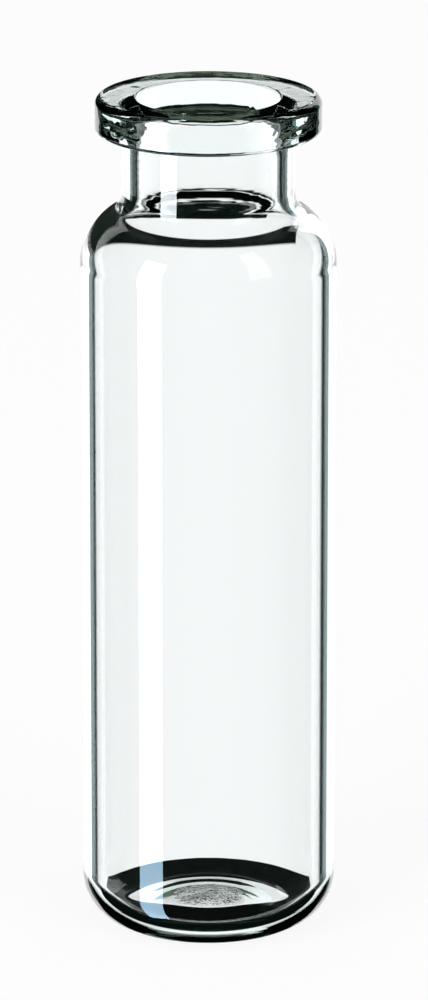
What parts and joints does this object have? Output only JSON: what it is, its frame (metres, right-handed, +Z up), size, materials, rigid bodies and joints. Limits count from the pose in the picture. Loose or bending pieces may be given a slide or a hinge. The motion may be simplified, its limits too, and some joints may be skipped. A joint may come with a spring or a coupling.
{
  "type": "glass sample vial",
  "caption": "Clear glass headspace vial with a straight round body, rounded shoulder, short neck, flanged mouth for a crimp cap and a pushed-up base.",
  "frame": {"origin": "centre of the standing ring under the base, on the surface that the vial stands on", "axes": "+Z up along the vial's axis, out of the mouth; X and Y are level and equal, because the vial is round"},
  "size_m": [0.0225, 0.0224, 0.0755],
  "materials": {
    "glass": "clear fire-polished glass, faintly green in its edges"
  },
  "bodies": {
    "root": {"vial": "glass"}
  },
  "joints": []
}
